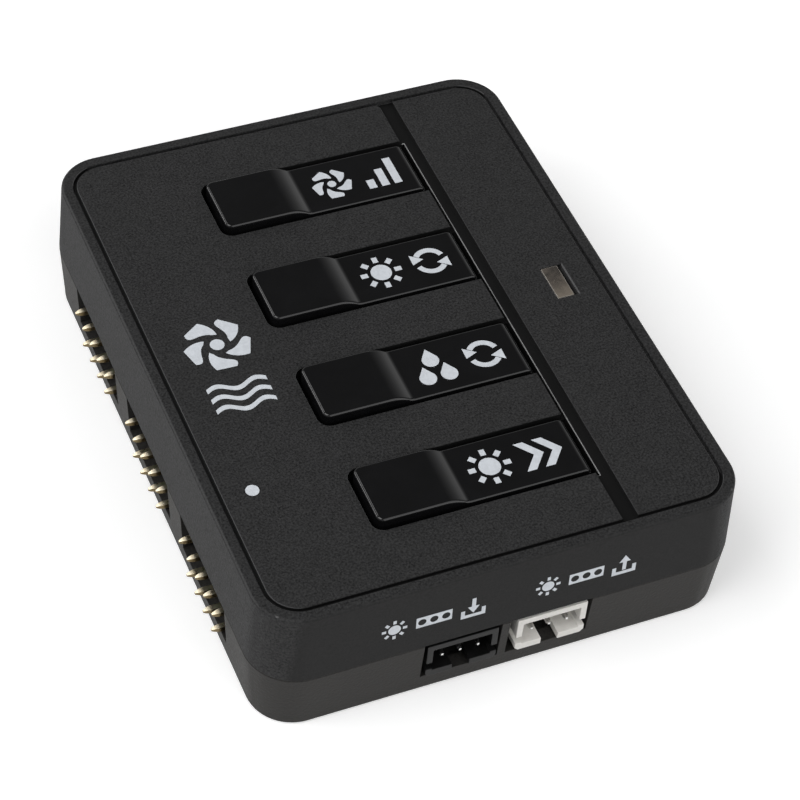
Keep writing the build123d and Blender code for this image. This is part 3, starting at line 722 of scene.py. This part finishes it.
# Screws with a cross recess in their heads
screwShape = {
    "head": 2.0, "slotWidth": 0.5, "slotLength": 2.1, "slotDepth": 0.75, "over": 0.1,
    "edge": 0.02, "segments": 1,
}
screwLow, screwHigh = box("case_screws")
screws = softCopy("case_screw_set", "case_screws", screwShape["edge"], screwShape["segments"])
for side in (-1, 1):
    for end in (-1, 1):
        x, y = side * (screwHigh.x - screwShape["head"]), end * (screwHigh.y - screwShape["head"])
        for half in ((screwShape["slotLength"] / 2, screwShape["slotWidth"] / 2),
                     (screwShape["slotWidth"] / 2, screwShape["slotLength"] / 2)):
            low = (x - half[0], y - half[1], screwLow.z - screwShape["over"])
            high = (x + half[0], y + half[1], screwLow.z + screwShape["slotDepth"])
            carve(screws, block("slot", low, high), "DIFFERENCE")
place(screws, "hub", zincSteel, ["case_screws"])
print("screws done")


# Pieces inside the case keep their own shapes and take these finishes
inside = {
    "circuit_board": boardMask, "indicator_lamp": lampWhite, "controller_chip": chipEpoxy,
    "power_capacitor": canAluminium,
}
inside.update({"fan_driver_" + letter: chipEpoxy for letter in "abc"})
inside.update({"switch_body_" + letter: switchPlastic for letter in "abcd"})
inside.update({"switch_plunger_" + letter: switchPlastic for letter in "abcd"})
for node, material in inside.items():
    for holder in nodes[node].material_slots:
        holder.material = material
print("inner pieces finished:", len(inside))


# Printed marks, drawn in millimetres about each mark's own middle
inkShape = {
    "thick": 0.024, "sink": 0.004, "steps": 40, "bladeSteps": 12, "bandSteps": 16, "dropSteps": 24,
    "waveSteps": 32,
}


def disc(x, y, radius):
    return arc((x, y), radius, 0, 360 - 360 / inkShape["steps"], inkShape["steps"] - 1)


def bar(x, y, width, height, turn=0):
    w, h = width / 2, height / 2
    corners = [(-w, -h), (w, -h), (w, h), (-w, h)]
    c, s = math.cos(math.radians(turn)), math.sin(math.radians(turn))
    return [(x + a * c - b * s, y + a * s + b * c) for a, b in corners]


def fanMark(x, y, size, blades=5):
    # swept blades round a ringed hub
    hub, tip = 0.17 * size, 0.5 * size
    outlines = [disc(x, y, hub * 0.62)]
    for blade in range(blades):
        lead, trail = [], []
        for i in range(inkShape["bladeSteps"] + 1):
            t = i / inkShape["bladeSteps"]
            radius = hub * 1.18 + (tip - hub * 1.18) * t
            start = math.radians(360 * blade / blades + 34 * t)
            width = math.radians(20 + 34 * math.sin(math.pi * min(t * 0.85, 1)))
            lead.append((x + radius * math.cos(start), y + radius * math.sin(start)))
            trail.append((x + radius * math.cos(start + width), y + radius * math.sin(start + width)))
        outlines.append(lead + trail[::-1])
    return outlines


def sunMark(x, y, size, rays=8):
    outlines = [disc(x, y, 0.25 * size)]
    for ray in range(rays):
        turn = 360 * ray / rays
        away = 0.42 * size
        outlines.append(bar(
            x + away * math.cos(math.radians(turn)), y + away * math.sin(math.radians(turn)),
            0.17 * size, 0.13 * size, turn,
        ))
    return outlines


def stepsMark(x, y, size, count=3):
    outlines = []
    for i in range(count):
        height = size * (i + 1) / count
        across = x + (i - (count - 1) / 2) * 0.36 * size
        outlines.append(bar(across, y - size / 2 + height / 2, 0.22 * size, height))
    return outlines


def cycleMark(x, y, size):
    # two arrows that chase each other
    outlines = []
    outer, inner = 0.46 * size, 0.31 * size
    for start in (20, 200):
        end = start + 122
        steps = inkShape["bandSteps"]
        outlines.append(arc((x, y), outer, start, end, steps) + arc((x, y), inner, end, start, steps))
        middle, angle = (outer + inner) / 2, math.radians(end + 3)
        head = 0.2 * size
        ahead = (-math.sin(angle), math.cos(angle))
        out = (math.cos(angle), math.sin(angle))
        base = (x + middle * out[0], y + middle * out[1])
        outlines.append([
            (base[0] + head * out[0], base[1] + head * out[1]),
            (base[0] + 1.5 * head * ahead[0], base[1] + 1.5 * head * ahead[1]),
            (base[0] - head * out[0], base[1] - head * out[1]),
        ])
    return outlines


def dropMark(x, y, size):
    # three drops, one above two
    outlines = []
    radius = 0.2 * size
    for dx, dy in ((0, 0.2), (-0.26, -0.3), (0.26, -0.3)):
        cx, cy = x + dx * size, y + dy * size
        outlines.append(arc((cx, cy), radius, -225, 45, inkShape["dropSteps"]) + [(cx, cy + radius * 1.75)])
    return outlines


def chevronMark(x, y, size, count=2):
    outlines = []
    for i in range(count):
        left = x + (i - (count - 1) / 2) * 0.5 * size - 0.32 * size
        half, thick, reach = 0.46 * size, 0.26 * size, 0.38 * size
        outlines.append([
            (left, y + half), (left + thick, y + half), (left + thick + reach, y), (left + thick, y - half),
            (left, y - half), (left + reach, y),
        ])
    return outlines


def trayMark(x, y, size, inward):
    # an open tray with an arrow that goes into it or comes out
    half, thick, rim = 0.5 * size, 0.16 * size, 0.42 * size
    outlines = [[
        (x - half, y - half + rim), (x - half, y - half), (x + half, y - half), (x + half, y - half + rim),
        (x + half - thick, y - half + rim), (x + half - thick, y - half + thick),
        (x - half + thick, y - half + thick), (x - half + thick, y - half + rim),
    ]]
    point = -1 if inward else 1
    middle = y + 0.12 * size
    stem, head, reach = 0.08 * size, 0.24 * size, 0.4 * size
    tail, neck = middle - point * reach, middle + point * 0.04 * size
    outlines.append([
        (x - stem, tail), (x + stem, tail), (x + stem, neck), (x + head, neck),
        (x, middle + point * reach), (x - head, neck), (x - stem, neck),
    ])
    return outlines


def stripMark(x, y, width, height, count=3):
    # a length of strip with its lamps left open
    outlines = [bar(x, y, width, height)]
    for i in range(count):
        outlines.append(disc(x + (i - (count - 1) / 2) * width / count, y, 0.3 * height))
    return outlines


def waveMark(x, y, width, pitch, count=3):
    # lines of moving air
    outlines = []
    for line in range(count):
        level = y - line * pitch
        upper, lower = [], []
        for i in range(inkShape["waveSteps"] + 1):
            t = i / inkShape["waveSteps"]
            rise = 0.28 * pitch * math.sin(2 * math.pi * t * 1.5)
            upper.append((x + (t - 0.5) * width, level + rise + 0.2 * pitch))
            lower.append((x + (t - 0.5) * width, level + rise - 0.2 * pitch))
        outlines.append(upper + lower[::-1])
    return outlines


def inkPiece(name, outlines, where, body):
    curve = bpy.data.curves.new(name, "CURVE")
    curve.dimensions = "2D"
    curve.fill_mode = "BOTH"
    curve.extrude = inkShape["thick"] / 2
    for outline in outlines:
        spline = curve.splines.new("POLY")
        spline.points.add(len(outline) - 1)
        for point, (x, y) in zip(spline.points, outline):
            point.co = (x, y, 0, 1)
        spline.use_cyclic_u = True
    holder = newPiece(name + "_outline", curve)
    graph = bpy.context.evaluated_depsgraph_get()
    mesh = bpy.data.meshes.new_from_object(holder.evaluated_get(graph))
    bpy.data.objects.remove(holder)
    mesh.name = name
    mesh.transform(where @ Matrix.Translation((0, 0, inkShape["thick"] / 2 - inkShape["sink"])))
    return place(newPiece(name, mesh), body, whiteInk)


labelInk = {"firstX": 2.5, "secondX": 8.3, "size": 4.7, "small": 4.2}
labels = {
    "fan_speed": (fanMark, stepsMark),
    "light_mode": (sunMark, cycleMark),
    "color_mode": (dropMark, cycleMark),
    "light_speed": (sunMark, chevronMark),
}
for hinge in keyHinges:
    body = hinge["child"]
    first, second = labels[body]
    marks = first(labelInk["firstX"], 0, labelInk["size"]) + second(labelInk["secondX"], 0, labelInk["small"])
    where = Matrix.Translation((0, hinge["pos_m"][1] / mm, keyShape["labelTop"]))
    inkPiece(body + "_print", marks, where, body)

panelInk = {"x": -18.1, "fanY": 2.9, "fanSize": 7.4, "waveY": -3.2, "waveWidth": 6.6, "wavePitch": 1.5}
panelMarks = fanMark(panelInk["x"], panelInk["fanY"], panelInk["fanSize"])
panelMarks += waveMark(panelInk["x"], panelInk["waveY"], panelInk["waveWidth"], panelInk["wavePitch"])
inkPiece("panel_print", panelMarks, Matrix.Translation((0, 0, topLevel)), "hub")
dotInk = {"x": -21.6, "y": -17.3, "radius": 0.72}
dotPlace = Matrix.Translation((0, 0, topLevel))
inkPiece("panel_dot", [disc(dotInk["x"], dotInk["y"], dotInk["radius"])], dotPlace, "hub")

frontInk = {
    "inX": -8.65, "outX": 8.2, "z": 11.95, "size": 2.7, "gap": 4.3, "stripWidth": 3.9, "stripHeight": 1.5,
    "rim": 34.75,
}


def frontPlace(x, z):
    # on the drafted front wall, which leans back from the seam to the rim
    rise, draft = topLevel - seamLevel, -coverLow.y - frontInk["rim"]
    lean = math.atan2(draft, rise)
    depth = coverLow.y + draft * (z - seamLevel) / rise
    return Matrix.Translation((x, depth, z)) @ Matrix.Rotation(math.pi / 2 - lean, 4, "X")


for name, x, inward in (("led_in_print", frontInk["inX"], True), ("led_out_print", frontInk["outX"], False)):
    marks = sunMark(-frontInk["gap"], 0, frontInk["size"])
    marks += stripMark(0, 0, frontInk["stripWidth"], frontInk["stripHeight"])
    marks += trayMark(frontInk["gap"], 0, frontInk["size"], inward)
    inkPiece(name, marks, frontPlace(x, frontInk["z"]), "hub")
print("prints done")


# Floor, light and camera
floorLook = {
    "size": 4.0, "drop": 0.00002, "seen": (0.98, 0.98, 0.98), "bounce": (0.4, 0.4, 0.4), "rough": 0.9,
    "glow": (0.29, 0.29, 0.29),
}


def makeFloor():
    bm = bmesh.new()
    bmesh.ops.create_grid(bm, x_segments=1, y_segments=1, size=floorLook["size"] / 2)
    floor = newPiece("floor", meshFrom("floor", bm))
    floor.location.z = -floorLook["drop"]
    material, tree, shader = newMaterial("floorPaper", Roughness=floorLook["rough"], Emission_Strength=1.0)
    # white where it is looked at, a quieter grey for the light it throws back
    rays = addNode(tree, "ShaderNodeLightPath")
    seen = addNode(tree, "ShaderNodeMath", operation="MAXIMUM")
    through = addNode(tree, "ShaderNodeMath", operation="MAXIMUM")
    wire(
        tree, (rays, "Is Camera Ray", seen, 0), (rays, "Is Glossy Ray", seen, 1),
        (seen, "Value", through, 0), (rays, "Is Transmission Ray", through, 1),
    )
    mixColour(tree, through, "Value", floorLook["bounce"], floorLook["seen"], shader)
    mixColour(tree, through, "Value", (0, 0, 0), floorLook["glow"], shader, "Emission Color")
    # open from below, so that the underside can be looked at
    shape = addNode(tree, "ShaderNodeNewGeometry")
    front = addNode(tree, "ShaderNodeMath", operation="SUBTRACT")
    front.inputs[0].default_value = 1.0
    wire(tree, (shape, "Backfacing", front, 1), (front, "Value", shader, "Alpha"))
    floor.data.materials.append(material)


worldLook = {"horizon": 0.58, "zenith": 0.1, "from": 0.2, "to": 0.64}


def makeWorld():
    world = bpy.data.worlds.new("studio")
    world.use_nodes = True
    tree = world.node_tree
    background = tree.nodes["Background"]
    background.inputs["Color"].default_value = (1, 1, 1, 1)
    where = addNode(tree, "ShaderNodeTexCoord")
    split = addNode(tree, "ShaderNodeSeparateXYZ")
    spread = addNode(tree, "ShaderNodeMapRange", clamp=True)
    spread.inputs["From Min"].default_value = worldLook["from"]
    spread.inputs["From Max"].default_value = worldLook["to"]
    spread.inputs["To Min"].default_value = worldLook["horizon"]
    spread.inputs["To Max"].default_value = worldLook["zenith"]
    wire(
        tree, (where, "Generated", split, "Vector"), (split, "Z", spread, "Value"),
        (spread, "Result", background, "Strength"),
    )
    bpy.context.scene.world = world


lamps = {
    "mainLamp": {"place": (-0.42, -0.07, 0.56), "size": (0.5, 0.5), "watts": 2.7},
    "frontLamp": {"place": (0.25, -0.5, 0.34), "size": (0.9, 0.8), "watts": 2.9},
    "edgeLamp": {"place": (-0.66, 0.54, 0.27), "size": (0.5, 0.15), "watts": 1.4},
    "backLamp": {"place": (-0.22, 0.54, 0.69), "size": (0.3, 0.25), "watts": 0.6},
}


def makeLamps():
    for name, look in lamps.items():
        light = bpy.data.lights.new(name, "AREA")
        light.shape = "RECTANGLE"
        light.size, light.size_y = look["size"]
        light.energy = look["watts"]
        lamp = newPiece(name, light)
        lamp.location = look["place"]
        lamp.rotation_euler = (-Vector(look["place"])).to_track_quat("-Z", "Y").to_euler()


photoCamera = {
    "turn": -26.63, "rise": 47.41, "roll": 5.78, "distance": 292.5, "slideX": 1.54, "slideY": -8.13,
    "focalPixels": 2730, "imagePixels": 800, "sensor": 36.0, "clip": 0.01,
}


def makeCamera():
    turn, rise, roll = (math.radians(photoCamera[key]) for key in ("turn", "rise", "roll"))
    back = Vector((math.sin(turn) * math.cos(rise), -math.cos(turn) * math.cos(rise), math.sin(rise)))
    right = (-back).cross(Vector((0, 0, 1))).normalized()
    up = right.cross(-back)
    across = math.cos(roll) * right + math.sin(roll) * up
    upright = -math.sin(roll) * right + math.cos(roll) * up
    spot = Vector((0, 0, topLevel)) + back * photoCamera["distance"]
    spot += across * photoCamera["slideX"] + upright * photoCamera["slideY"]
    lensData = bpy.data.cameras.new("photoCamera")
    lensData.sensor_width = photoCamera["sensor"]
    lensData.lens = photoCamera["focalPixels"] / photoCamera["imagePixels"] * photoCamera["sensor"]
    lensData.clip_start = photoCamera["clip"]
    camera = newPiece("photoCamera", lensData)
    turned = Matrix((across, upright, back)).transposed()
    camera.matrix_world = Matrix.Translation(spot * mm) @ turned.to_4x4()
    bpy.context.scene.camera = camera


makeFloor()
makeWorld()
makeLamps()
makeCamera()
bpy.context.scene.view_settings.view_transform = "Standard"
print("stage set")
